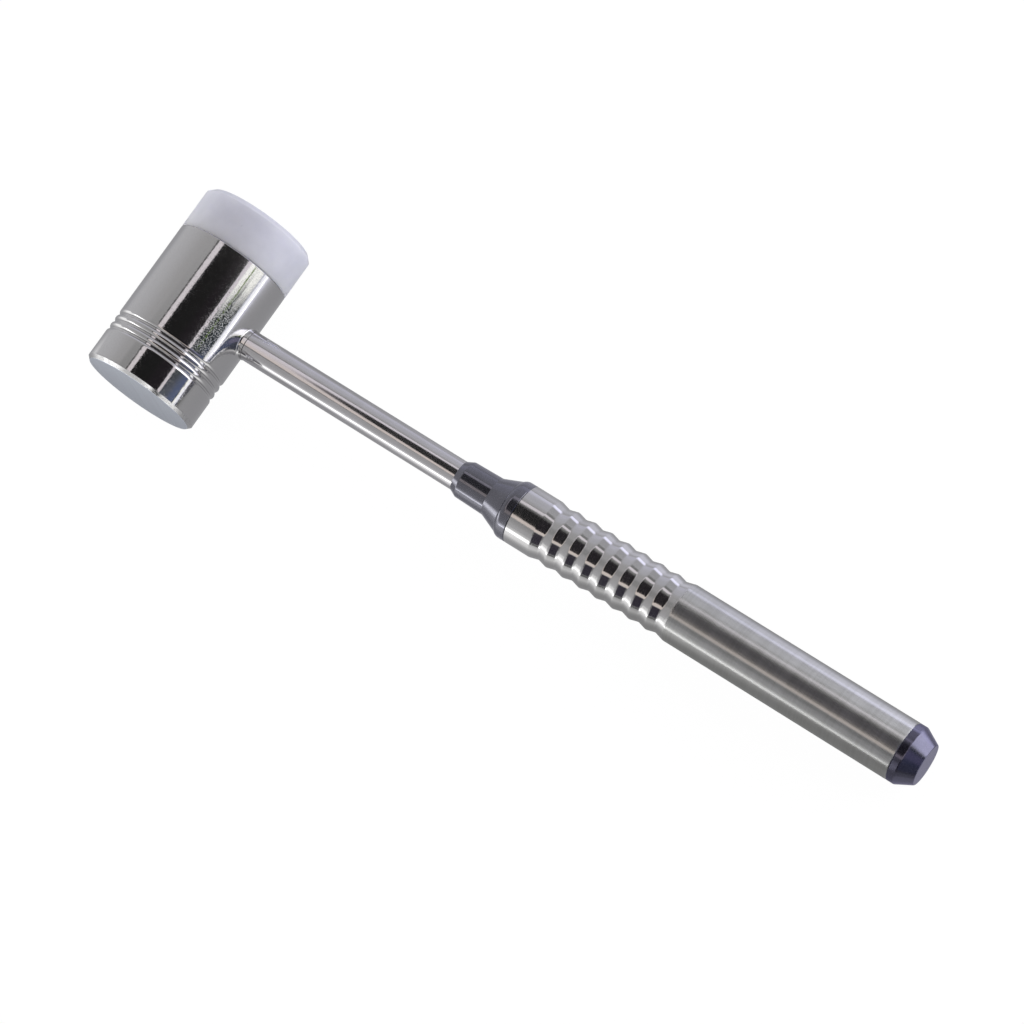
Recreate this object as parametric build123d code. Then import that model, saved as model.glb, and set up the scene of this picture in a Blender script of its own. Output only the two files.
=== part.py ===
from build123d import *
import os

# Two-faced bone mallet: a turned steel head with one steel striking face and one
# replaceable nylon face, carried on a steel neck rod that is bolted into a hollow,
# sealed grip.
#
# Millimetres. The origin is the centre of the steel striking face. +Y runs along
# the head to the nylon face, +X along the handle to its end, and +Z is up with
# the mallet lying on its side.

# ---- steel head ----
HEAD_DIAMETER = 28.0
STEEL_LENGTH = 36.65          # steel striking face to the nylon face's seat
HANDLE_AXIS_Y = 22.5          # steel striking face to the handle's axis
FACE_CHAMFER = 0.8            # bright bevel round the steel striking face
SEAM_ROUND = 0.25             # rims of steel and nylon where they meet
RING_FIRST = 8.3              # steel striking face to the first ring groove
RING_PITCH = 1.88
RING_COUNT = 3
RING_ROOT = 0.34              # flat at the bottom of a ring groove
RING_DEPTH = 0.48

# ---- nylon face and its stud ----
NYLON_LENGTH = 10.75
NYLON_CHAMFER = 1.2           # rim of the nylon striking face
NYLON_ROUND = 0.3             # edges of that chamfer
STUD_DIAMETER = 8.0
STUD_IN_HEAD = 9.0
STUD_IN_NYLON = 7.0
STUD_CHAMFER = 0.7
THREAD_CLEARANCE = 0.05       # radial, stud to either threaded hole
NYLON_HOLE_SPARE = 1.0        # hole beyond the end of the stud

# ---- neck rod ----
ROD_DIAMETER = 7.1
ROD_EDGE = 0.12               # bevel that shows the seam at the boss
NECK_LENGTH = 57.5            # boss face to the nose of the ferrule
BOSS_STANDOFF = 0.8           # boss face beyond the head's side
BOSS_STEP = 0.15              # boss radius over the rod's
BOSS_FILLET = 0.5
TENON_STEP = 0.8              # rod radius over the tenon's
TENON_LENGTH = 9.0
TENON_HOLE_SPARE = 0.5
TAIL_STEP = 1.05              # rod radius over the threaded tail's
SOCKET_DEPTH = 8.0            # nose of the ferrule to the rod's seat

# ---- front ferrule ----
FERRULE_LENGTH = 16.5         # nose to the grip tube's front edge
FERRULE_LIP = 0.07            # lip radius over the rod's
FERRULE_WALL = 0.85           # barrel radius over the rod's, behind the nose
FERRULE_SWELL = 0.18          # gain in radius along the barrel
NOSE_LENGTH = 1.6             # conical nose
NOSE_ROUND = 0.5              # edge between nose and barrel
BARREL_END = 8.95             # nose to the start of the flare
FLARE_END = 13.45             # nose to the end of the flare
SHOULDER_RISE = 0.6           # rounded step from the flare up to the collar
SHOULDER_LENGTH = 1.4

# ---- grip tube ----
TUBE_DIAMETER = 14.0
TUBE_LENGTH = 98.7
TUBE_WALL = 1.5
TUBE_EDGE = 0.15
WAVE_START = 6.45             # front edge to the first flank
WAVE_LEAD = 2.32              # flank from the plain barrel to the first or last valley
WAVE_PITCH = 4.37
WAVE_COUNT = 8
WAVE_DEPTH = 0.63             # depth where the flanks would meet, without the rounding
CREST_DROP = 0.04             # crests between valleys, under the plain barrel, likewise
WAVE_ROUND = 1.1              # radius along crests and valleys

# ---- end plug ----
PLUG_BAND = 1.85
PLUG_CONE = 3.8
PLUG_CONE_DROP = 2.05         # tube radius over the end face's
PLUG_ROUND = 0.3              # rim of the end face
BAND_ROUND = 0.8              # edge between band and cone

# ---- spigots, seals and fasteners inside the grip ----
SPIGOT_LENGTH = 9.0
SPIGOT_CHAMFER = 0.4
SLIP_CLEARANCE = 0.03         # radial, spigots, tenon, rod and tail in their bores
SEAL_SECTION = 1.0            # radial thickness of a seated seal ring
SEAL_WIDTH = 1.3
SEAL_ROUND = 0.4
SEAL_INSET = 3.0              # shoulder to the middle of the seal
SEAL_GROOVE_SPARE = 0.2       # groove width over the seal's
WASHER_THICKNESS = 1.0
WASHER_GAP = 0.4              # washer's edge to the tube's wall
NUT_HEIGHT = 4.0
NUT_CORNER_GAP = 0.88         # nut's corners to the tube's wall
NUT_BEVEL = 0.5
TAIL_PROUD = 1.0              # threaded tail beyond the nut

# ---- places along the handle, from the head's axis ----
HEAD_RADIUS = HEAD_DIAMETER / 2
ROD_RADIUS = ROD_DIAMETER / 2
TENON_RADIUS = ROD_RADIUS - TENON_STEP
TAIL_RADIUS = ROD_RADIUS - TAIL_STEP
TUBE_RADIUS = TUBE_DIAMETER / 2
BORE_RADIUS = TUBE_RADIUS - TUBE_WALL
SPIGOT_RADIUS = BORE_RADIUS - SLIP_CLEARANCE
STUD_RADIUS = STUD_DIAMETER / 2
BOSS_X = HEAD_RADIUS + BOSS_STANDOFF
NOSE_X = BOSS_X + NECK_LENGTH
ROD_SEAT_X = NOSE_X + SOCKET_DEPTH
TUBE_X = NOSE_X + FERRULE_LENGTH
WASHER_X = TUBE_X + SPIGOT_LENGTH
NUT_X = WASHER_X + WASHER_THICKNESS
TAIL_END_X = NUT_X + NUT_HEIGHT + TAIL_PROUD
PLUG_X = TUBE_X + TUBE_LENGTH
END_X = PLUG_X + PLUG_BAND + PLUG_CONE


def turned_on_head(edges):
    """Revolve a closed outline of (radius, y) edges about the head's axis."""
    return revolve(Face(Wire(edges)), Axis.Y)


def turned_on_handle(edges):
    """Revolve a closed outline of (x, radius) edges about the handle's axis."""
    return Pos(0, HANDLE_AXIS_Y, 0) * revolve(Face(Wire(edges)), Axis.X)


def handle_cylinder(radius, start, end):
    """Plain cylinder on the handle's axis, from start to end."""
    return Pos(start, HANDLE_AXIS_Y, 0) * extrude(Plane.YZ * Circle(radius), end - start)


def lines(*points):
    """Straight edges through the points."""
    return [Line(a, b) for a, b in zip(points, points[1:])]


def ring_edges():
    """Three narrow grooves with half-round beads between them, in (radius, y)."""
    root = HEAD_RADIUS - RING_DEPTH
    half_root = RING_ROOT / 2
    half_bead = RING_PITCH / 2 - half_root
    last = RING_FIRST + (RING_COUNT - 1) * RING_PITCH
    lead_in = RING_FIRST - half_root - half_bead
    edges = [TangentArc((HEAD_RADIUS, lead_in), (root, RING_FIRST - half_root), tangent=(0, 1))]
    for index in range(RING_COUNT):
        y = RING_FIRST + index * RING_PITCH
        edges += lines((root, y - half_root), (root, y + half_root))
        if index < RING_COUNT - 1:
            crest = (HEAD_RADIUS, y + RING_PITCH / 2)
            edges.append(ThreePointArc((root, y + half_root), crest, (root, y + RING_PITCH - half_root)))
    lead_out = last + half_root + half_bead
    edges.append(TangentArc((HEAD_RADIUS, lead_out), (root, last + half_root), tangent=(0, -1)))
    return edges, lead_in, lead_out


def head_body():
    """Turned head with ring grooves, the boss for the rod and both blind holes."""
    rings, lead_in, lead_out = ring_edges()
    rim = STEEL_LENGTH - SEAM_ROUND
    edges = lines((0, 0), (HEAD_RADIUS - FACE_CHAMFER, 0), (HEAD_RADIUS, FACE_CHAMFER), (HEAD_RADIUS, lead_in))
    edges += rings
    edges += lines((HEAD_RADIUS, lead_out), (HEAD_RADIUS, rim))
    edges.append(TangentArc((HEAD_RADIUS, rim), (HEAD_RADIUS - SEAM_ROUND, STEEL_LENGTH), tangent=(0, 1)))
    edges += lines((HEAD_RADIUS - SEAM_ROUND, STEEL_LENGTH), (0, STEEL_LENGTH), (0, 0))
    body = turned_on_head(edges)
    body += handle_cylinder(ROD_RADIUS + BOSS_STEP, 0, BOSS_X)
    root_curve = [e for e in body.edges() if e.geom_type not in (GeomType.LINE, GeomType.CIRCLE)]
    body = fillet(root_curve, BOSS_FILLET)
    tenon_end = BOSS_X - TENON_LENGTH - TENON_HOLE_SPARE
    body -= handle_cylinder(TENON_RADIUS + SLIP_CLEARANCE, tenon_end, BOSS_X)
    hole = Circle(STUD_RADIUS + THREAD_CLEARANCE)
    body -= Pos(0, STEEL_LENGTH, 0) * extrude(Plane.XZ * hole, STUD_IN_HEAD)
    return body


def face_stud():
    """Threaded stud, bevelled at both ends, that seats at the bottom of the head's hole."""
    low = STEEL_LENGTH - STUD_IN_HEAD
    high = STEEL_LENGTH + STUD_IN_NYLON
    inner = STUD_RADIUS - STUD_CHAMFER
    return turned_on_head(lines(
        (0, low), (inner, low), (STUD_RADIUS, low + STUD_CHAMFER),
        (STUD_RADIUS, high - STUD_CHAMFER), (inner, high), (0, high), (0, low)))


def nylon_face():
    """Nylon cap, flush with the head, with a blind threaded hole for the stud."""
    seat = STEEL_LENGTH
    end = STEEL_LENGTH + NYLON_LENGTH
    hole = STUD_RADIUS + THREAD_CLEARANCE
    bottom = seat + STUD_IN_NYLON + NYLON_HOLE_SPARE
    mouth = hole + STUD_CHAMFER
    edges = lines((hole, bottom), (hole, seat + STUD_CHAMFER), (mouth, seat), (HEAD_RADIUS - SEAM_ROUND, seat))
    edges.append(TangentArc((HEAD_RADIUS, seat + SEAM_ROUND), (HEAD_RADIUS - SEAM_ROUND, seat), tangent=(0, -1)))
    rim = FilletPolyline(
        (HEAD_RADIUS, seat + SEAM_ROUND), (HEAD_RADIUS, end - NYLON_CHAMFER),
        (HEAD_RADIUS - NYLON_CHAMFER, end), (0, end), radius=NYLON_ROUND)
    edges += rim.edges() + lines((0, end), (0, bottom), (hole, bottom))
    return turned_on_head(edges)


def neck_rod():
    """Rod with a tenon for the head and a threaded tail for the grip."""
    tenon_start = BOSS_X - TENON_LENGTH
    return turned_on_handle(lines(
        (tenon_start, 0), (tenon_start, TENON_RADIUS), (BOSS_X, TENON_RADIUS),
        (BOSS_X, ROD_RADIUS - ROD_EDGE), (BOSS_X + ROD_EDGE, ROD_RADIUS),
        (ROD_SEAT_X, ROD_RADIUS), (ROD_SEAT_X, TAIL_RADIUS),
        (TAIL_END_X - ROD_EDGE, TAIL_RADIUS), (TAIL_END_X, TAIL_RADIUS - ROD_EDGE),
        (TAIL_END_X, 0), (tenon_start, 0)))


def spigot_points(shoulder, length, direction):
    """Outline of a spigot with its seal groove, from the shoulder at the tube's edge."""
    def at(distance):
        return shoulder + direction * distance

    floor = BORE_RADIUS - SEAL_SECTION
    half_groove = (SEAL_WIDTH + SEAL_GROOVE_SPARE) / 2
    return [
        (at(0), SPIGOT_RADIUS), (at(SEAL_INSET - half_groove), SPIGOT_RADIUS),
        (at(SEAL_INSET - half_groove), floor), (at(SEAL_INSET + half_groove), floor),
        (at(SEAL_INSET + half_groove), SPIGOT_RADIUS), (at(length - SPIGOT_CHAMFER), SPIGOT_RADIUS),
        (at(length), SPIGOT_RADIUS - SPIGOT_CHAMFER)]


def front_ferrule():
    """Nose, barrel, flare and collar in one turned piece, with a spigot for the tube."""
    lip = ROD_RADIUS + FERRULE_LIP
    barrel = ROD_RADIUS + FERRULE_WALL
    socket = ROD_RADIUS + SLIP_CLEARANCE
    web = TAIL_RADIUS + SLIP_CLEARANCE
    barrel_end = (NOSE_X + BARREL_END, barrel + FERRULE_SWELL)
    flare_end = (NOSE_X + FLARE_END, TUBE_RADIUS - SHOULDER_RISE)
    collar = (NOSE_X + FLARE_END + SHOULDER_LENGTH, TUBE_RADIUS)
    nose = FilletPolyline((NOSE_X, lip), (NOSE_X + NOSE_LENGTH, barrel), barrel_end, radius=NOSE_ROUND)
    edges = nose.edges() + lines(barrel_end, flare_end)
    edges.append(TangentArc(collar, flare_end, tangent=(-1, 0)))
    edges += lines(
        collar, (TUBE_X - TUBE_EDGE, TUBE_RADIUS), (TUBE_X, TUBE_RADIUS - TUBE_EDGE),
        *spigot_points(TUBE_X, SPIGOT_LENGTH, 1), (WASHER_X, web), (ROD_SEAT_X, web),
        (ROD_SEAT_X, socket), (NOSE_X, socket), (NOSE_X, lip))
    return turned_on_handle(edges)


def wave_corners():
    """Corners of the waves' straight flanks, from the front of the grip to its barrel."""
    first_valley = TUBE_X + WAVE_START + WAVE_LEAD
    corners = [(TUBE_X + WAVE_START, TUBE_RADIUS)]
    for index in range(WAVE_COUNT):
        x = first_valley + index * WAVE_PITCH
        corners.append((x, TUBE_RADIUS - WAVE_DEPTH))
        if index < WAVE_COUNT - 1:
            corners.append((x + WAVE_PITCH / 2, TUBE_RADIUS - CREST_DROP))
    return corners + [(x + WAVE_LEAD, TUBE_RADIUS)]


def grip_tube():
    """Hollow grip with eight shallow waves behind the ferrule and a plain barrel."""
    front = (TUBE_X + TUBE_EDGE, TUBE_RADIUS)
    end = (PLUG_X - TUBE_EDGE, TUBE_RADIUS)
    edges = lines((TUBE_X, TUBE_RADIUS - TUBE_EDGE), front)
    edges += FilletPolyline(front, *wave_corners(), end, radius=WAVE_ROUND).edges()
    edges += lines(
        end, (PLUG_X, TUBE_RADIUS - TUBE_EDGE), (PLUG_X, BORE_RADIUS), (TUBE_X, BORE_RADIUS),
        (TUBE_X, TUBE_RADIUS - TUBE_EDGE))
    return turned_on_handle(edges)


def end_plug():
    """Plug with a band flush with the tube, a conical end and a spigot."""
    face = TUBE_RADIUS - PLUG_CONE_DROP
    spigot = spigot_points(PLUG_X, SPIGOT_LENGTH, -1)
    plug = turned_on_handle(lines(
        (PLUG_X - SPIGOT_LENGTH, 0), *reversed(spigot), (PLUG_X, TUBE_RADIUS - TUBE_EDGE),
        (PLUG_X + TUBE_EDGE, TUBE_RADIUS), (PLUG_X + PLUG_BAND, TUBE_RADIUS), (END_X, face), (END_X, 0),
        (PLUG_X - SPIGOT_LENGTH, 0)))
    circles = plug.edges().filter_by(GeomType.CIRCLE)
    plug = fillet(circles.filter_by_position(Axis.X, END_X, END_X), PLUG_ROUND)
    circles = plug.edges().filter_by(GeomType.CIRCLE)
    band_end = PLUG_X + PLUG_BAND
    return fillet(circles.filter_by_position(Axis.X, band_end, band_end), BAND_ROUND)


def seal_ring(centre):
    """Seal ring squeezed flat between its groove's floor and the tube's bore."""
    floor = BORE_RADIUS - SEAL_SECTION
    middle = floor + SEAL_SECTION / 2
    section = Pos(centre, middle) * RectangleRounded(SEAL_WIDTH, SEAL_SECTION, SEAL_ROUND)
    return Pos(0, HANDLE_AXIS_Y, 0) * revolve(section, Axis.X)


def rod_washer():
    """Flat washer on the ferrule's rear face."""
    outer = BORE_RADIUS - WASHER_GAP
    inner = TAIL_RADIUS + SLIP_CLEARANCE
    return turned_on_handle(lines(
        (WASHER_X, inner), (NUT_X, inner), (NUT_X, outer), (WASHER_X, outer), (WASHER_X, inner)))


def rod_nut():
    """Hexagon nut on the rod's tail, with bevelled corners."""
    corner = BORE_RADIUS - NUT_CORNER_GAP
    flats = Pos(NUT_X, HANDLE_AXIS_Y, 0) * extrude(Plane.YZ * RegularPolygon(corner, 6), NUT_HEIGHT)
    end = NUT_X + NUT_HEIGHT
    bevel = turned_on_handle(lines(
        (NUT_X, 0), (NUT_X, corner - NUT_BEVEL), (NUT_X + NUT_BEVEL / 2, corner),
        (end - NUT_BEVEL / 2, corner), (end, corner - NUT_BEVEL), (end, 0), (NUT_X, 0)))
    return (flats & bevel) - handle_cylinder(TAIL_RADIUS + SLIP_CLEARANCE, NUT_X, end)


PIECES = {
    "head_body": head_body(),
    "face_stud": face_stud(),
    "nylon_face": nylon_face(),
    "neck_rod": neck_rod(),
    "front_ferrule": front_ferrule(),
    "ferrule_seal": seal_ring(TUBE_X + SEAL_INSET),
    "rod_washer": rod_washer(),
    "rod_nut": rod_nut(),
    "grip_tube": grip_tube(),
    "plug_seal": seal_ring(PLUG_X - SEAL_INSET),
    "end_plug": end_plug(),
}

os.makedirs("parts", exist_ok=True)
for name, piece in PIECES.items():
    export_step(piece, f"parts/{name}.step")
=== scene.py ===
import math

import bmesh
import bpy
from mathutils import Matrix, Vector

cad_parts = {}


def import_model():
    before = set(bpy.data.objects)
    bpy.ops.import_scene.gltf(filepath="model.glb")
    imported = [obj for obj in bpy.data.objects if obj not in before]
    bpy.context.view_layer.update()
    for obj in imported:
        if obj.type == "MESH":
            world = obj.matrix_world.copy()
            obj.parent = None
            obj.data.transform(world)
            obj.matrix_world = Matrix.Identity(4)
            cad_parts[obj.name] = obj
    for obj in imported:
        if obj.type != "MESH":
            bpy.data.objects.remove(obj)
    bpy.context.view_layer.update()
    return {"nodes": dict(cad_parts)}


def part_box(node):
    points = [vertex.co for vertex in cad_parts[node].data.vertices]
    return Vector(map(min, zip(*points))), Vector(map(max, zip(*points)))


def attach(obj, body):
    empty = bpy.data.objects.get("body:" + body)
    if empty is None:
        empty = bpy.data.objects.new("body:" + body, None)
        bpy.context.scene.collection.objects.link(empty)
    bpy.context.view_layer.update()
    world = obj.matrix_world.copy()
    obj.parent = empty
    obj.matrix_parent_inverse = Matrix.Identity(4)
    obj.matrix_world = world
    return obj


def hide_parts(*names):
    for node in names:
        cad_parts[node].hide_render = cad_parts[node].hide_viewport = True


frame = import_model()

MM = 0.001
MICRON = 0.001 * MM

# ---- places taken from the frame ----
stud_low, stud_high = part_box("face_stud")
tube_low, tube_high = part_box("grip_tube")
HEAD_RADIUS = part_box("head_body")[1].z
NYLON_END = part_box("nylon_face")[1].y
HANDLE_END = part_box("end_plug")[1].x
HANDLE_Y = (tube_low.y + tube_high.y) / 2
TUBE_RADIUS = tube_high.z
STUD_RADIUS = stud_high.z
WAVES_LENGTH = 41.8 * MM                   # from the tube's front to the satin barrel
BARREL_START = tube_low.x + WAVES_LENGTH
PLUG_BAND = 3.8 * MM                       # middle of the plug's band, from the handle's end

# ---- camera ----
AZIMUTH = math.radians(57.44)
ELEVATION = math.radians(70.37)
ROLL = math.radians(-24.04)
CAMERA_DISTANCE = 942.6 * MM
AIM_ALONG_HANDLE = 86.72 * MM              # from the head's axis
AIM_OFF_AXIS = -0.65 * MM
LENS = 152.52
SENSOR_WIDTH = 36.0
CLIP_START = 10 * MM


# ---------------------------------------------------------------- node helpers
def add(tree, kind, inputs=None, **settings):
    """Adds a node, sets its properties, and fills or links its inputs."""
    node = tree.nodes.new(kind)
    for key, value in settings.items():
        setattr(node, key, value)
    for key, value in (inputs or {}).items():
        if isinstance(value, bpy.types.NodeSocket):
            tree.links.new(value, node.inputs[key])
        else:
            node.inputs[key].default_value = value
    return node


def calc(tree, operation, *values):
    """One Math node over one or two values or sockets."""
    return add(tree, "ShaderNodeMath", dict(enumerate(values)), operation=operation).outputs[0]


def vector_calc(tree, operation, *values):
    """One Vector Math node; a length comes out as a value, the rest as vectors."""
    node = add(tree, "ShaderNodeVectorMath", dict(enumerate(values)), operation=operation)
    return node.outputs["Value" if operation == "LENGTH" else "Vector"]


def diagonal(tree, first, second):
    """Length of two coordinates taken together."""
    together = add(tree, "ShaderNodeCombineXYZ", {0: first, 1: second}).outputs[0]
    return vector_calc(tree, "LENGTH", together)


def ramp(tree, value, low, high, start=0.0, end=1.0):
    """Smooth step from start to end as value goes from low to high."""
    return add(tree, "ShaderNodeMapRange", {
        "Value": value, "From Min": low, "From Max": high, "To Min": start, "To Max": end,
    }, interpolation_type="SMOOTHSTEP").outputs["Result"]


def mix_colour(tree, factor, a, b):
    """Blends two colours or colour sockets."""
    return add(tree, "ShaderNodeMix", {0: factor, 6: a, 7: b}, data_type="RGBA").outputs[2]


def mix_value(tree, factor, a, b):
    """Blends two numbers or sockets."""
    return add(tree, "ShaderNodeMix", {0: factor, 2: a, 3: b}, data_type="FLOAT").outputs[0]


def mix_vector(tree, factor, a, b):
    """Blends two vectors or sockets."""
    return add(tree, "ShaderNodeMix", {0: factor, 4: a, 5: b}, data_type="VECTOR").outputs[1]


def fade(tree, value, low, high, first, last):
    """Colour that goes from first to last as a value goes from low to high."""
    return mix_colour(tree, ramp(tree, value, low, high), first, last)


def grey(level, tint=(1.0, 1.0, 1.0)):
    """RGBA of a level times a tint."""
    return (level * tint[0], level * tint[1], level * tint[2], 1.0)


def blue_grey(level, blue):
    """RGBA of a grey level with its blue times a factor."""
    return grey(level, (1.0, 1.0, blue))


FLOAT, VECTOR = "NodeSocketFloat", "NodeSocketVector"


def new_group(name, inputs, outputs):
    """Starts a shader node group; returns it with its input and output nodes."""
    group = bpy.data.node_groups.new(name, "ShaderNodeTree")
    for label, kind, default in inputs:
        socket = group.interface.new_socket(label, in_out="INPUT", socket_type=kind)
        socket.default_value = default
    for label, kind in outputs:
        group.interface.new_socket(label, in_out="OUTPUT", socket_type=kind)
    return group, group.nodes.new("NodeGroupInput"), group.nodes.new("NodeGroupOutput")


def place_group(tree, group, position, **inputs):
    """Places a node group in a material and returns its outputs; underscores stand for spaces."""
    values = {key.replace("_", " "): value for key, value in inputs.items()}
    return add(tree, "ShaderNodeGroup", {"Position": position, **values}, node_tree=group).outputs


def noise(tree, position, scale, detail, roughness=0.5):
    """Smooth random values over space, from 0 to 1."""
    values = {"Vector": position, "Scale": scale, "Detail": detail, "Roughness": roughness}
    return add(tree, "ShaderNodeTexNoise", values).outputs["Fac"]


def noise_along(tree, place, scale, detail, roughness=0.5):
    """Smooth random values along one number, from 0 to 1."""
    values = {"W": place, "Scale": scale, "Detail": detail, "Roughness": roughness}
    return add(tree, "ShaderNodeTexNoise", values, noise_dimensions="1D").outputs["Fac"]


# ---------------------------------------------------------------- shared effects
def make_turning_marks():
    """Fine marks that a lathe leaves: lines across the turning axis, barely uneven round it."""
    group, given, out = new_group(
        "turning_marks",
        [("Position", VECTOR, (0, 0, 0)), ("Along", FLOAT, 0.0), ("Spacing", FLOAT, 0.3 * MM)],
        [("Height", FLOAT), ("Streak", FLOAT)])
    line = calc(group, "DIVIDE", given.outputs["Along"], given.outputs["Spacing"])
    drift = noise(group, given.outputs["Position"], scale=60.0, detail=1.0)
    place = calc(group, "ADD", line, calc(group, "MULTIPLY", drift, 0.8))
    fine = noise_along(group, place, scale=1.0, detail=2.0, roughness=0.6)
    broad = noise_along(group, place, scale=0.17, detail=1.0)
    streak = calc(group, "ADD", calc(group, "MULTIPLY", broad, 0.4), calc(group, "MULTIPLY", fine, 0.6))
    group.links.new(fine, out.inputs["Height"])
    group.links.new(ramp(group, streak, 0.3, 0.7), out.inputs["Streak"])
    return group


def make_polish_texture():
    """What a buffing wheel leaves: fine orange-peel pits, a slow waviness and scattered specks."""
    group, given, out = new_group(
        "polish_texture",
        [("Position", VECTOR, (0, 0, 0)), ("Pit Size", FLOAT, 0.5 * MM), ("Waviness", FLOAT, 0.3)],
        [("Height", FLOAT), ("Pits", FLOAT), ("Specks", FLOAT)])
    position = given.outputs["Position"]
    scale = calc(group, "DIVIDE", 1.0, given.outputs["Pit Size"])
    pits = noise(group, position, scale, detail=1.0)
    slow = noise(group, position, scale=160.0, detail=1.0)
    specks = noise(group, position, calc(group, "MULTIPLY", scale, 1.3), detail=0.0)
    height = calc(group, "ADD", pits, calc(group, "MULTIPLY", slow, given.outputs["Waviness"]))
    group.links.new(height, out.inputs["Height"])
    group.links.new(pits, out.inputs["Pits"])
    group.links.new(ramp(group, specks, 0.52, 0.72), out.inputs["Specks"])
    return group


def make_handling():
    """Slow blotches and small marks from use, as factors from 0 to 1."""
    group, given, out = new_group(
        "handling",
        [("Position", VECTOR, (0, 0, 0)), ("Patch Size", FLOAT, 10 * MM)],
        [("Blotch", FLOAT), ("Marks", FLOAT)])
    position = given.outputs["Position"]
    scale = calc(group, "DIVIDE", 1.0, given.outputs["Patch Size"])
    blotch = noise(group, position, scale, detail=4.0, roughness=0.55)
    marks = noise(group, position, scale=700.0, detail=4.0, roughness=0.7)
    group.links.new(ramp(group, blotch, 0.3, 0.7), out.inputs["Blotch"])
    group.links.new(ramp(group, marks, 0.66, 0.74), out.inputs["Marks"])
    return group


def make_soft_box():
    """Mask that is 1 inside a box with round corners and fades over Softness outside it."""
    group, given, out = new_group(
        "soft_box",
        [("Position", VECTOR, (0, 0, 0)), ("Centre", VECTOR, (0, 0, 0)), ("Half Size", VECTOR, (1, 1, 1)),
         ("Corner", FLOAT, 0.0), ("Softness", FLOAT, 10 * MM)],
        [("Mask", FLOAT)])
    offset = vector_calc(group, "ABSOLUTE", vector_calc(
        group, "SUBTRACT", given.outputs["Position"], given.outputs["Centre"]))
    inner = vector_calc(group, "SUBTRACT", offset, given.outputs["Half Size"])
    grown = vector_calc(group, "ADD", inner, given.outputs["Corner"])
    outside = vector_calc(group, "LENGTH", vector_calc(group, "MAXIMUM", grown, (0.0, 0.0, 0.0)))
    distance = calc(group, "SUBTRACT", outside, given.outputs["Corner"])
    group.links.new(ramp(group, distance, 0.0, given.outputs["Softness"], 1.0, 0.0), out.inputs["Mask"])
    return group


turning_marks = make_turning_marks()
polish_texture = make_polish_texture()
handling = make_handling()
soft_box = make_soft_box()


# ---------------------------------------------------------------- materials
POLISHED = (1.0, 0.99, 0.99)               # tint of polished steel
GROUND = (0.94, 1.0, 1.10)                 # tint of the ground striking face


def start_material(name, metallic, ior=1.5):
    """An empty material with a Principled shader; returns it, its tree, shader and position."""
    material = bpy.data.materials.new(name)
    material.use_nodes = True
    tree = material.node_tree
    shader = tree.nodes["Principled BSDF"]
    shader.inputs["Metallic"].default_value = metallic
    shader.inputs["IOR"].default_value = ior
    position = add(tree, "ShaderNodeTexCoord").outputs["Object"]
    return material, tree, shader, position


def axes_of(tree, position):
    """The x, y and z of a position."""
    return add(tree, "ShaderNodeSeparateXYZ", {0: position}).outputs


def feed(tree, shader, **sockets):
    """Links values to the shader's inputs by name, with underscores for spaces."""
    for key, socket in sockets.items():
        tree.links.new(socket, shader.inputs[key.replace("_", " ")])


def bump(tree, height, depth, under=None):
    """Bump from a height in 0 to 1, whose full range is depth metres."""
    inputs = {"Height": height, "Distance": depth, "Strength": 1.0}
    if under is not None:
        inputs["Normal"] = under
    return add(tree, "ShaderNodeBump", inputs).outputs["Normal"]


def between(tree, value, rise_from, rise_to, fall_from, fall_to):
    """Mask that rises over the first stretch of a value and falls over the second."""
    rise = ramp(tree, value, rise_from, rise_to)
    return calc(tree, "MULTIPLY", rise, ramp(tree, value, fall_to, fall_from))


def head_wear(tree, xyz):
    """Where the head's polish is worn: beside the rod, and round the edge of the striking face."""
    across = between(tree, xyz["X"], 6.6 * MM, 8.8 * MM, 10.4 * MM, 11.4 * MM)
    along = between(tree, xyz["Y"], 12.5 * MM, 14.0 * MM, 27.0 * MM, 33.5 * MM)
    edge = ramp(tree, xyz["Y"], 1.3 * MM, 0.8 * MM)
    return calc(tree, "MAXIMUM", calc(tree, "MULTIPLY", across, along), edge)


def polished_head():
    """Mirror-polished head: fine pits, buffing lines and specks, with a striking face ground satin."""
    material, tree, shader, position = start_material("polished_head_steel", 1.0)
    xyz = axes_of(tree, position)
    round_it = calc(tree, "MULTIPLY", calc(tree, "ARCTAN2", xyz["X"], xyz["Z"]), HEAD_RADIUS)
    polish = place_group(tree, polish_texture, position, Pit_Size=0.3 * MM, Waviness=0.4)
    lines = place_group(tree, turning_marks, position, Along=round_it, Spacing=0.3 * MM)
    use = place_group(tree, handling, position, Patch_Size=6 * MM)
    worn = head_wear(tree, xyz)
    grain = ramp(tree, polish["Specks"], 0.35, 0.65)
    steel = mix_colour(tree, polish["Pits"], grey(0.59, POLISHED), grey(0.65, POLISHED))
    steel = mix_colour(tree, calc(tree, "MULTIPLY", grain, worn), steel, grey(0.40))
    mirror = mix_value(tree, use["Blotch"], 0.03, 0.05)
    dull = mix_value(tree, worn, 0.16, 0.30)
    buffed = bump(tree, lines["Height"], 1.2 * MICRON)
    pitted = bump(tree, polish["Height"], 1.8 * MICRON, under=buffed)
    speck_depth = mix_value(tree, worn, 0.9 * MICRON, 2.4 * MICRON)
    specked = bump(tree, polish["Specks"], speck_depth, under=pitted)

    ground = place_group(tree, turning_marks, position, Along=xyz["X"], Spacing=0.18 * MM)
    face = mix_colour(tree, ground["Streak"], grey(0.68, GROUND), grey(0.77, GROUND))
    on_face = ramp(tree, xyz["Y"], 0.02 * MM, 0.08 * MM, 1.0, 0.0)
    feed(tree, shader,
         Base_Color=mix_colour(tree, on_face, steel, face),
         Roughness=mix_value(tree, on_face, mix_value(tree, grain, mirror, dull), 0.34),
         Normal=mix_vector(tree, on_face, specked, bump(tree, ground["Height"], 16 * MICRON)))
    return material


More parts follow.
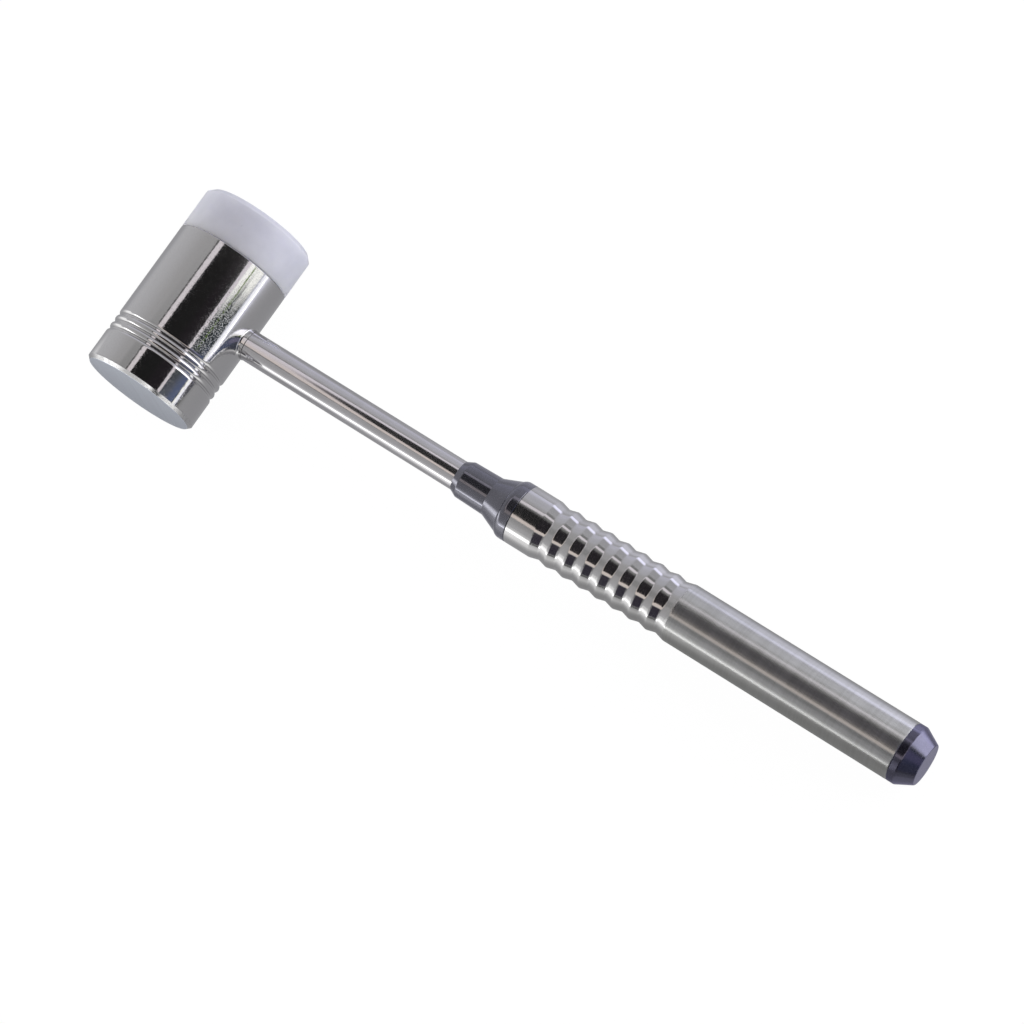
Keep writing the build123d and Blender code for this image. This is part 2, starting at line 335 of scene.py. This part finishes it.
def polished_rod():
    """Polished rod, drawn along its length."""
    material, tree, shader, position = start_material("polished_rod_steel", 0.95)
    polish = place_group(tree, polish_texture, position, Pit_Size=0.6 * MM, Waviness=1.0)
    use = place_group(tree, handling, position, Patch_Size=5 * MM)
    dark, light = grey(0.60, (1.0, 0.985, 1.0)), grey(0.64, (1.0, 0.985, 1.01))
    feed(tree, shader,
         Base_Color=mix_colour(tree, use["Blotch"], dark, light),
         Roughness=mix_value(tree, use["Blotch"], 0.09, 0.12),
         Normal=bump(tree, polish["Height"], 0.3 * MICRON))
    return material


def satin_grip():
    """Grip steel: polished round the waves, satin with turning marks along the barrel."""
    material, tree, shader, position = start_material("satin_grip_steel", 1.0)
    xyz = axes_of(tree, position)
    marks = place_group(tree, turning_marks, position, Along=xyz["X"], Spacing=0.7 * MM)
    polish = place_group(tree, polish_texture, position, Pit_Size=0.5 * MM, Waviness=0.5)
    use = place_group(tree, handling, position, Patch_Size=8 * MM)
    barrel = ramp(tree, xyz["X"], BARREL_START - 1.0 * MM, BARREL_START + 0.4 * MM)
    dull = mix_colour(tree, marks["Streak"], blue_grey(0.50, 0.98), blue_grey(0.56, 0.99))
    bright = mix_colour(tree, use["Blotch"], grey(0.58, POLISHED), grey(0.62, POLISHED))
    smooth = mix_value(tree, use["Blotch"], 0.08, 0.11)
    rough = mix_value(tree, marks["Streak"], 0.28, 0.31)
    feed(tree, shader,
         Base_Color=mix_colour(tree, barrel, bright, dull),
         Metallic=mix_value(tree, barrel, 0.98, 0.985),
         Roughness=mix_value(tree, barrel, smooth, rough),
         Normal=bump(tree, polish["Height"], mix_value(tree, barrel, 2.5 * MICRON, 0.0)),
         Tangent=add(tree, "ShaderNodeTangent", direction_type="RADIAL", axis="X").outputs[0])
    shader.inputs["Anisotropic"].default_value = 1.0
    shader.inputs["Anisotropic Rotation"].default_value = 0.25
    return material


def anodised(name, metallic, dark, light, roughness, edge_tint, coat):
    """Tinted, anodised metal with soft turning marks along the handle."""
    material, tree, shader, position = start_material(name, metallic)
    along = axes_of(tree, position)["X"]
    marks = place_group(tree, turning_marks, position, Along=along, Spacing=0.26 * MM)
    use = place_group(tree, handling, position, Patch_Size=4 * MM)
    feed(tree, shader,
         Base_Color=mix_colour(tree, use["Blotch"], dark, light),
         Roughness=mix_value(tree, marks["Streak"], roughness - 0.03, roughness + 0.04),
         Normal=bump(tree, marks["Height"], 0.4 * MICRON))
    shader.inputs["Specular Tint"].default_value = edge_tint
    shader.inputs["Coat Weight"].default_value = coat
    shader.inputs["Coat Roughness"].default_value = 0.05
    return material


def slate_ferrule():
    """Slate-blue anodising of the ferrule, with a glossy seal."""
    slate = (1.0, 1.0, 1.20)
    return anodised("slate_ferrule", metallic=0.78, dark=grey(0.138, slate), light=grey(0.16, slate),
                    roughness=0.13, edge_tint=(0.88, 0.88, 1.0, 1.0), coat=0.9)


def violet_plug():
    """Violet-slate anodising of the end plug, more satin than the ferrule's."""
    violet = (1.0, 0.98, 1.4)
    return anodised("violet_plug", metallic=0.9, dark=grey(0.12, violet), light=grey(0.145, violet),
                    roughness=0.20, edge_tint=(0.78, 0.76, 1.0, 1.0), coat=0.25)


def white_nylon():
    """Turned natural nylon: soft sheen, faint tool marks, a few nicks, and painted shade that greys the
    chamfered end.
    """
    material, tree, shader, position = start_material("natural_nylon", 0.0, ior=1.53)
    xyz = axes_of(tree, position)
    radius = diagonal(tree, xyz["X"], xyz["Z"])
    around_side = ramp(tree, radius, HEAD_RADIUS - 0.2 * MM, HEAD_RADIUS - 0.1 * MM)
    along = mix_value(tree, around_side, radius, xyz["Y"])
    marks = place_group(tree, turning_marks, position, Along=along, Spacing=0.3 * MM)
    use = place_group(tree, handling, position, Patch_Size=5 * MM)
    plain = mix_colour(tree, use["Blotch"], (0.74, 0.75, 0.82, 1.0), (0.79, 0.80, 0.87, 1.0))
    # painted shade: the chamfered end's colour is darkened where it catches more light from above and
    # behind
    painted_edge_shade = ramp(tree, xyz["Y"], NYLON_END - 1.2 * MM, NYLON_END - 0.7 * MM)
    plain = mix_colour(tree, painted_edge_shade, plain, (0.68, 0.69, 0.75, 1.0))
    nicks = calc(tree, "MULTIPLY", use["Marks"], use["Blotch"])
    turned = bump(tree, marks["Height"], 4 * MICRON)
    feed(tree, shader,
         Base_Color=mix_colour(tree, nicks, plain, (0.62, 0.63, 0.69, 1.0)),
         Roughness=mix_value(tree, marks["Streak"], 0.38, 0.5),
         Normal=bump(tree, nicks, 30 * MICRON, under=turned))
    shader.inputs["Subsurface Weight"].default_value = 0.7
    shader.inputs["Subsurface Radius"].default_value = (5 * MM, 5 * MM, 5.5 * MM)
    shader.inputs["Subsurface Scale"].default_value = 1.0
    return material


def fastener_steel():
    """Bright fastener steel with fine tool marks."""
    material, tree, shader, position = start_material("fastener_steel", 1.0)
    along = axes_of(tree, position)["X"]
    marks = place_group(tree, turning_marks, position, Along=along, Spacing=0.2 * MM)
    feed(tree, shader,
         Base_Color=mix_colour(tree, marks["Streak"], grey(0.5), grey(0.62)),
         Roughness=mix_value(tree, marks["Streak"], 0.22, 0.34),
         Normal=bump(tree, marks["Height"], 2 * MICRON))
    return material


def black_silicone():
    """Black silicone of the seal rings."""
    material, tree, shader, position = start_material("black_silicone", 0.0, ior=1.41)
    use = place_group(tree, handling, position, Patch_Size=2 * MM)
    feed(tree, shader,
         Base_Color=mix_colour(tree, use["Blotch"], grey(0.02), grey(0.035)),
         Roughness=mix_value(tree, use["Marks"], 0.5, 0.65))
    return material


def paint(material, *nodes):
    """Puts a material in every slot of some CAD nodes."""
    for node in nodes:
        for place in frame["nodes"][node].material_slots:
            place.material = material


stud_steel = fastener_steel()
paint(polished_head(), "head_body")
paint(polished_rod(), "neck_rod")
paint(satin_grip(), "grip_tube")
paint(slate_ferrule(), "front_ferrule")
paint(violet_plug(), "end_plug")
paint(white_nylon(), "nylon_face")
paint(stud_steel, "rod_washer", "rod_nut", "face_stud")
paint(black_silicone(), "ferrule_seal", "plug_seal")


# ---------------------------------------------------------------- the stud's thread
THREAD_PITCH = 1.25 * MM
THREAD_DEPTH = 0.55 * MM
STUD_BEVEL = 0.7 * MM
FLANK_SLOPE = 1.3                          # 1 gives sharp crests and roots, more makes them flat
ROOT_FLAT = 0.12                           # the roots' part of what is over 1
THREAD_SIDES = 48
STEPS_PER_TURN = 10


def threaded_stud():
    """Stud with a helical thread, in place of the plain cylinder."""
    length = stud_high.y - stud_low.y
    rings = round(length / THREAD_PITCH * STEPS_PER_TURN)
    shape = bmesh.new()
    grid = []
    for step in range(rings + 1):
        y = stud_low.y + length * step / rings
        end = min(y - stud_low.y, stud_high.y - y)
        limit = STUD_RADIUS - max(0.0, STUD_BEVEL - end)
        ring = []
        for side in range(THREAD_SIDES):
            turn = side / THREAD_SIDES
            phase = (y / THREAD_PITCH + turn) % 1.0
            flank = abs(2.0 * phase - 1.0)
            crest = min(1.0, max(0.0, FLANK_SLOPE * flank - ROOT_FLAT))
            radius = min(limit, STUD_RADIUS - THREAD_DEPTH * (1.0 - crest))
            angle = 2.0 * math.pi * turn
            ring.append(shape.verts.new((radius * math.cos(angle), y, radius * math.sin(angle))))
        grid.append(ring)
    for low, high in zip(grid, grid[1:]):
        for side in range(THREAD_SIDES):
            after = (side + 1) % THREAD_SIDES
            shape.faces.new((low[side], high[side], high[after], low[after]))
    shape.faces.new(grid[0])
    shape.faces.new(list(reversed(grid[-1])))
    bmesh.ops.recalc_face_normals(shape, faces=shape.faces)
    for face in shape.faces:
        face.smooth = len(face.verts) == 4
    mesh = bpy.data.meshes.new("stud_thread")
    shape.to_mesh(mesh)
    shape.free()
    piece = bpy.data.objects.new("stud_thread", mesh)
    bpy.context.scene.collection.objects.link(piece)
    mesh.materials.append(stud_steel)
    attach(piece, "mallet")
    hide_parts("face_stud")
    return piece


threaded_stud()


# ---------------------------------------------------------------- the studio
# The mallet lies on a pale floor under a white tent. The tent's roof has a dark
# opening with bright edges, which polished steel shows as a black band between two
# bright lines. Light comes in low at the front and the back, and the wall past the
# handle's end has a dark window. Sizes here are in metres.
TENT_ROOF = 0.30
TENT_LOW = Vector((-0.60, -0.42, -0.03))
TENT_HIGH = Vector((0.40, 0.46, TENT_ROOF))
FRONT_WALL = TENT_LOW.y + 0.01
BACK_WALL = TENT_HIGH.y - 0.01
END_WALL = 0.370
FAR = 9.0
FLOOR_HALF = 6.0


def emitter(name):
    """An emission material; returns it, its tree, its emission node and position."""
    material = bpy.data.materials.new(name)
    material.use_nodes = True
    tree = material.node_tree
    tree.nodes.remove(tree.nodes["Principled BSDF"])
    glow = add(tree, "ShaderNodeEmission")
    tree.links.new(glow.outputs[0], tree.nodes["Material Output"].inputs["Surface"])
    return material, tree, glow, add(tree, "ShaderNodeTexCoord").outputs["Object"]


def patch(tree, position, under, colour, low, high, softness, corner=0.0):
    """Lays a coloured patch with soft edges over what is under it."""
    low, high = Vector(low), Vector(high)
    mask = place_group(tree, soft_box, position, Centre=(low + high) / 2, Half_Size=(high - low) / 2,
                       Corner=corner, Softness=softness)["Mask"]
    return mix_colour(tree, mask, under, colour)


def tent_cloth(tree, position):
    """Plain cloth: brighter low down, lavender at the back, with two dimmer places."""
    xyz = axes_of(tree, position)
    slope = calc(tree, "DIVIDE", xyz["Z"], diagonal(tree, xyz["X"], xyz["Y"]))
    light = fade(tree, slope, -0.05, 1.0, blue_grey(0.59, 1.03), grey(0.47, (1, 0.99, 1)))
    light = patch(tree, position, light, grey(0.33), (-0.21, -0.035, 0.1), (-0.17, 0.025, FAR), 0.09)
    near = fade(tree, xyz["Z"], 0.05, 0.25, blue_grey(0.66, 1.12), blue_grey(0.58, 1.08))
    back = fade(tree, xyz["X"], 0.02, 0.15, near, blue_grey(0.47, 1.05))
    light = patch(tree, position, light, back, (-FAR, BACK_WALL - 0.01, -FAR), (FAR, FAR, FAR), 0.25)
    return patch(tree, position, light, grey(0.24), (0.16, 0.27, 0.26), (FAR, 0.31, FAR), 0.06)


def front_wall(tree, position, light):
    """Strips of light low in front, a bright corner beyond the head, and black over the handle's end."""
    x = axes_of(tree, position)["X"]
    low_strip = fade(tree, x, -0.09, -0.06, grey(1.80), grey(2.60))
    low_strip = fade(tree, x, 0.045, 0.115, low_strip, grey(0.14))
    core = fade(tree, x, 0.045, 0.105, grey(3.20), grey(0.14))
    strips = (  # colour, left, right, top and softness
        (grey(0.74), -FAR, 0.12, 0.11, 0.06),                   # wide glow
        (grey(0.95), -FAR, -0.27, 0.12, 0.07),                  # brighter beyond the head
        (low_strip, -FAR, FAR, 0.022, 0.075),                   # strip along the floor
        (core, -0.12, FAR, 0.002, 0.030),                       # its bright core
        (grey(5.0), -0.068, -0.038, 0.004, 0.024))              # small lamp for the dark ferrule
    for colour, left, right, top, softness in strips:
        low, high = (left, -FAR, -FAR), (right, FRONT_WALL, top)
        light = patch(tree, position, light, colour, low, high, softness)
    light = patch(tree, position, light, grey(3.10), (-FAR, -FAR, -FAR), (-0.46, -0.34, 0.050), 0.150)
    black = (0.036, 0.031, 0.046, 1)
    return patch(tree, position, light, black, (0.15, -FAR, 0.075), (FAR, -0.25, FAR), 0.04)


def back_wall(tree, position, light):
    """Strip of light low at the back, brighter towards the handle's end."""
    x = axes_of(tree, position)["X"]
    strip = fade(tree, x, -0.10, 0.13, blue_grey(0.66, 1.14), blue_grey(1.36, 1.22))
    return patch(tree, position, light, strip, (-FAR, BACK_WALL, -FAR), (FAR, FAR, 0.050), 0.07)


def roof_opening(tree, position, light):
    """Dark opening in the roof with a bright edge, and a darker line round that."""
    xyz = axes_of(tree, position)
    line = fade(tree, xyz["X"], -0.10, -0.05, grey(0.15), grey(0.33))
    edge = fade(tree, xyz["Y"], -0.15, 0.15, (0.90, 0.80, 0.74, 1), (0.94, 0.89, 0.94, 1))
    deep = fade(tree, xyz["X"], 0.08, 0.17, grey(0.016), (0.020, 0.017, 0.020, 1))
    dark = fade(tree, xyz["Y"], 0.085, 0.175, deep, blue_grey(0.30, 0.97))
    patches = (  # colour, low and high corner, softness and corner radius
        (grey(0.22), (0.0, -FAR), (0.15, -0.24), 0.03, 0.0),    # dim place in front
        (line, (-0.134, -0.236), (FAR, 0.256), 0.006, 0.18),
        (edge, (-0.114, -0.216), (FAR, 0.238), 0.006, 0.17),
        (dark, (-0.069, -0.142), (0.305, 0.180), 0.008, 0.155))
    for colour, low, high, softness, corner in patches:
        light = patch(tree, position, light, colour, (*low, -FAR), (*high, FAR), softness, corner)
    return light


def end_wall(tree, position, light):
    """Wall past the handle's end: white, with a dark window and a bright sill."""
    z = axes_of(tree, position)["Z"]
    dusk = fade(tree, z, 0.10, 0.22, (0.12, 0.15, 0.26, 1), (0.11, 0.12, 0.15, 1))
    dark = (0.034, 0.042, 0.045, 1)
    patches = (  # colour, front, back, bottom, top and softness
        (blue_grey(1.40, 0.96), -FAR, FAR, -FAR, FAR, 0.004),               # white wall
        (blue_grey(2.50, 1.04), 0.165, FAR, -FAR, FAR, 0.040),              # brighter at the back
        (grey(0.72, (1, 1.03, 1.16)), 0.09, 0.125, -FAR, 0.055, 0.014),     # post under the window
        (dark, -FAR, 0.097, 0.060, FAR, 0.013),                             # window frame
        (dark, -FAR, 0.106, 0.165, FAR, 0.013),                             # its wider upper part
        (dusk, -FAR, 0.076, 0.070, FAR, 0.010),                             # dusk in the window
        ((0.17, 0.27, 0.05, 1), 0.095, 0.150, 0.218, 0.232, 0.007),         # green beside it
        ((0.28, 0.27, 0.40, 1), -0.08, 0.035, 0.15, FAR, 0.030),            # paler place in it
        (blue_grey(1.38, 1.06), -FAR, 0.165, -FAR, 0.032, 0.010),           # sill
        ((0.10, 0.11, 0.15, 1), -FAR, -0.15, -FAR, 0.16, 0.020))            # dark front corner
    for colour, front, back, bottom, top, softness in patches:
        low, high = (END_WALL, front, bottom), (FAR, back, top)
        light = patch(tree, position, light, colour, low, high, softness)
    return light


def tent_material():
    """Light of the tent by place; what isn't mirrored gets more of it, most from low down."""
    material, tree, glow, position = emitter("tent_cloth")
    xyz = axes_of(tree, position)
    sides = tent_cloth(tree, position)
    sides = front_wall(tree, position, sides)
    sides = back_wall(tree, position, sides)
    roof = roof_opening(tree, position, sides)
    light = fade(tree, xyz["Z"], TENT_ROOF - 0.002, TENT_ROOF - 0.001, sides, roof)
    tree.links.new(end_wall(tree, position, light), glow.inputs["Color"])
    lift = calc(tree, "MULTIPLY", ramp(tree, xyz["Z"], 0.0, TENT_ROOF, 2.75, 1.32),
                ramp(tree, xyz["X"], -0.15, 0.30, 1.0, 0.68))
    diffuse = add(tree, "ShaderNodeLightPath").outputs["Is Diffuse Ray"]
    tree.links.new(mix_value(tree, diffuse, 1.0, lift), glow.inputs["Strength"])
    return material


def tent():
    """Tent round the mallet, open at the bottom and unseen by the camera."""
    shape = bmesh.new()
    bmesh.ops.create_cube(shape, size=1.0)
    size, middle = TENT_HIGH - TENT_LOW, (TENT_HIGH + TENT_LOW) / 2
    for vert in shape.verts:
        vert.co = Vector(c * s + m for c, s, m in zip(vert.co, size, middle))
    bottom = [face for face in shape.faces if all(v.co.z < TENT_LOW.z + MM for v in face.verts)]
    bmesh.ops.delete(shape, geom=bottom, context="FACES_ONLY")
    mesh = bpy.data.meshes.new("tent")
    shape.to_mesh(mesh)
    shape.free()
    mesh.materials.append(tent_material())
    piece = bpy.data.objects.new("tent", mesh)
    bpy.context.scene.collection.objects.link(piece)
    piece.visible_camera = False
    piece.visible_shadow = False


def floor_in_steel(tree, position):
    """Painted light and shade of the floor as the steel mirrors it: painted shade round the mallet,
    brighter away from it.
    """
    x = axes_of(tree, position)["X"]
    light = fade(tree, x, -0.12, -0.02, blue_grey(0.60, 1.03), blue_grey(0.50, 1.06))
    light = fade(tree, x, 0.03, 0.17, light, blue_grey(0.96, 1.14))
    ahead = fade(tree, x, 0.03, 0.18, grey(1.30), grey(0.29))
    shade = fade(tree, x, 0.07, 0.14, blue_grey(0.40, 1.03), grey(0.29))
    patches = (  # colour, low and high corner, and softness
        (ahead, (-FAR, -FAR), (FAR, 0.0), 0.020),                           # in front of the mallet
        (grey(2.2), (-0.13, -FAR), (0.03, -0.24), 0.060),                   # far in front
        (grey(2.4), (-0.15, -FAR), (-0.07, -0.11), 0.045),                  # beyond the head
        (blue_grey(2.30, 1.1), (0.215, 0.045), (FAR, FAR), 0.022),          # past the handle's end
        (grey(0.12), (0.235, -FAR), (FAR, -0.05), 0.020),                   # and in front of that
        # painted shade along the handle
        (shade, (0.0, HANDLE_Y - 0.012), (HANDLE_END, HANDLE_Y + 0.005), 0.037),
        (grey(0.50), (0.190, 0.0), (0.200, 0.045), 0.004),                  # under the plug's end
        # painted shade under the head
        (blue_grey(0.38, 1.04), (-0.025, -0.005), (0.020, 0.052), 0.050))   # under the head
    for colour, low, high, softness in patches:
        light = patch(tree, position, light, colour, (*low, -1), (*high, 1), softness)
    return light


def floor_material():
    """Pale floor: nearly white to the camera with a faint shadow, and painted light and shade by place in
    the steel.
    """
    material, tree, glow, position = emitter("pale_floor")
    tree.links.new(floor_in_steel(tree, position), glow.inputs["Color"])
    shadowed = add(tree, "ShaderNodeBsdfDiffuse", {"Color": grey(0.06)})
    white = add(tree, "ShaderNodeEmission", {"Strength": 0.975})
    seen = add(tree, "ShaderNodeAddShader", {0: shadowed.outputs[0], 1: white.outputs[0]})
    for_camera = add(tree, "ShaderNodeLightPath").outputs["Is Camera Ray"]
    both = add(tree, "ShaderNodeMixShader", {0: for_camera, 1: glow.outputs[0], 2: seen.outputs[0]})
    tree.links.new(both.outputs[0], tree.nodes["Material Output"].inputs["Surface"])
    return material


def floor():
    """Floor that touches the side of the head and the band of the plug, where the mallet lies."""
    plug_x = HANDLE_END - PLUG_BAND
    reach = math.hypot(plug_x, TUBE_RADIUS)
    tilt = math.asin(HEAD_RADIUS / reach) - math.asin(TUBE_RADIUS / reach)
    half = FLOOR_HALF
    corners = [(-half, -half, 0), (half, -half, 0), (half, half, 0), (-half, half, 0)]
    mesh = bpy.data.meshes.new("floor")
    mesh.from_pydata(corners, [], [(0, 1, 2, 3)])
    mesh.materials.append(floor_material())
    piece = bpy.data.objects.new("floor", mesh)
    bpy.context.scene.collection.objects.link(piece)
    down = Vector((math.sin(tilt), 0.0, -math.cos(tilt)))
    piece.matrix_world = Matrix.Translation(down * HEAD_RADIUS) @ Matrix.Rotation(-tilt, 4, "Y")


def world():
    """White surroundings beyond the tent."""
    scene_world = bpy.data.worlds.new("studio")
    bpy.context.scene.world = scene_world
    scene_world.use_nodes = True
    tree = scene_world.node_tree
    for_camera = add(tree, "ShaderNodeLightPath").outputs["Is Camera Ray"]
    tree.links.new(mix_value(tree, for_camera, 0.6, 1.0), tree.nodes["Background"].inputs["Strength"])
    tree.nodes["Background"].inputs["Color"].default_value = grey(1.0)


def camera():
    """Long-lens camera high above the mallet, a little in front and past the handle's end."""
    toward = Vector((
        math.sin(AZIMUTH) * math.cos(ELEVATION),
        -math.cos(AZIMUTH) * math.cos(ELEVATION),
        math.sin(ELEVATION)))
    level = Vector((math.cos(AZIMUTH), math.sin(AZIMUTH), 0.0))
    above = toward.cross(level)
    right = math.cos(ROLL) * level + math.sin(ROLL) * above
    up = toward.cross(right)
    aim = Vector((AIM_ALONG_HANDLE, HANDLE_Y + AIM_OFF_AXIS, 0.0))
    place = aim + toward * CAMERA_DISTANCE
    data = bpy.data.cameras.new("camera")
    data.lens = LENS
    data.sensor_width = SENSOR_WIDTH
    data.clip_start = CLIP_START
    piece = bpy.data.objects.new("camera", data)
    bpy.context.scene.collection.objects.link(piece)
    piece.matrix_world = Matrix((
        (right.x, up.x, toward.x, place.x),
        (right.y, up.y, toward.y, place.y),
        (right.z, up.z, toward.z, place.z),
        (0.0, 0.0, 0.0, 1.0)))
    bpy.context.scene.camera = piece


tent()
floor()
world()
camera()
bpy.context.scene.view_settings.view_transform = "Standard"
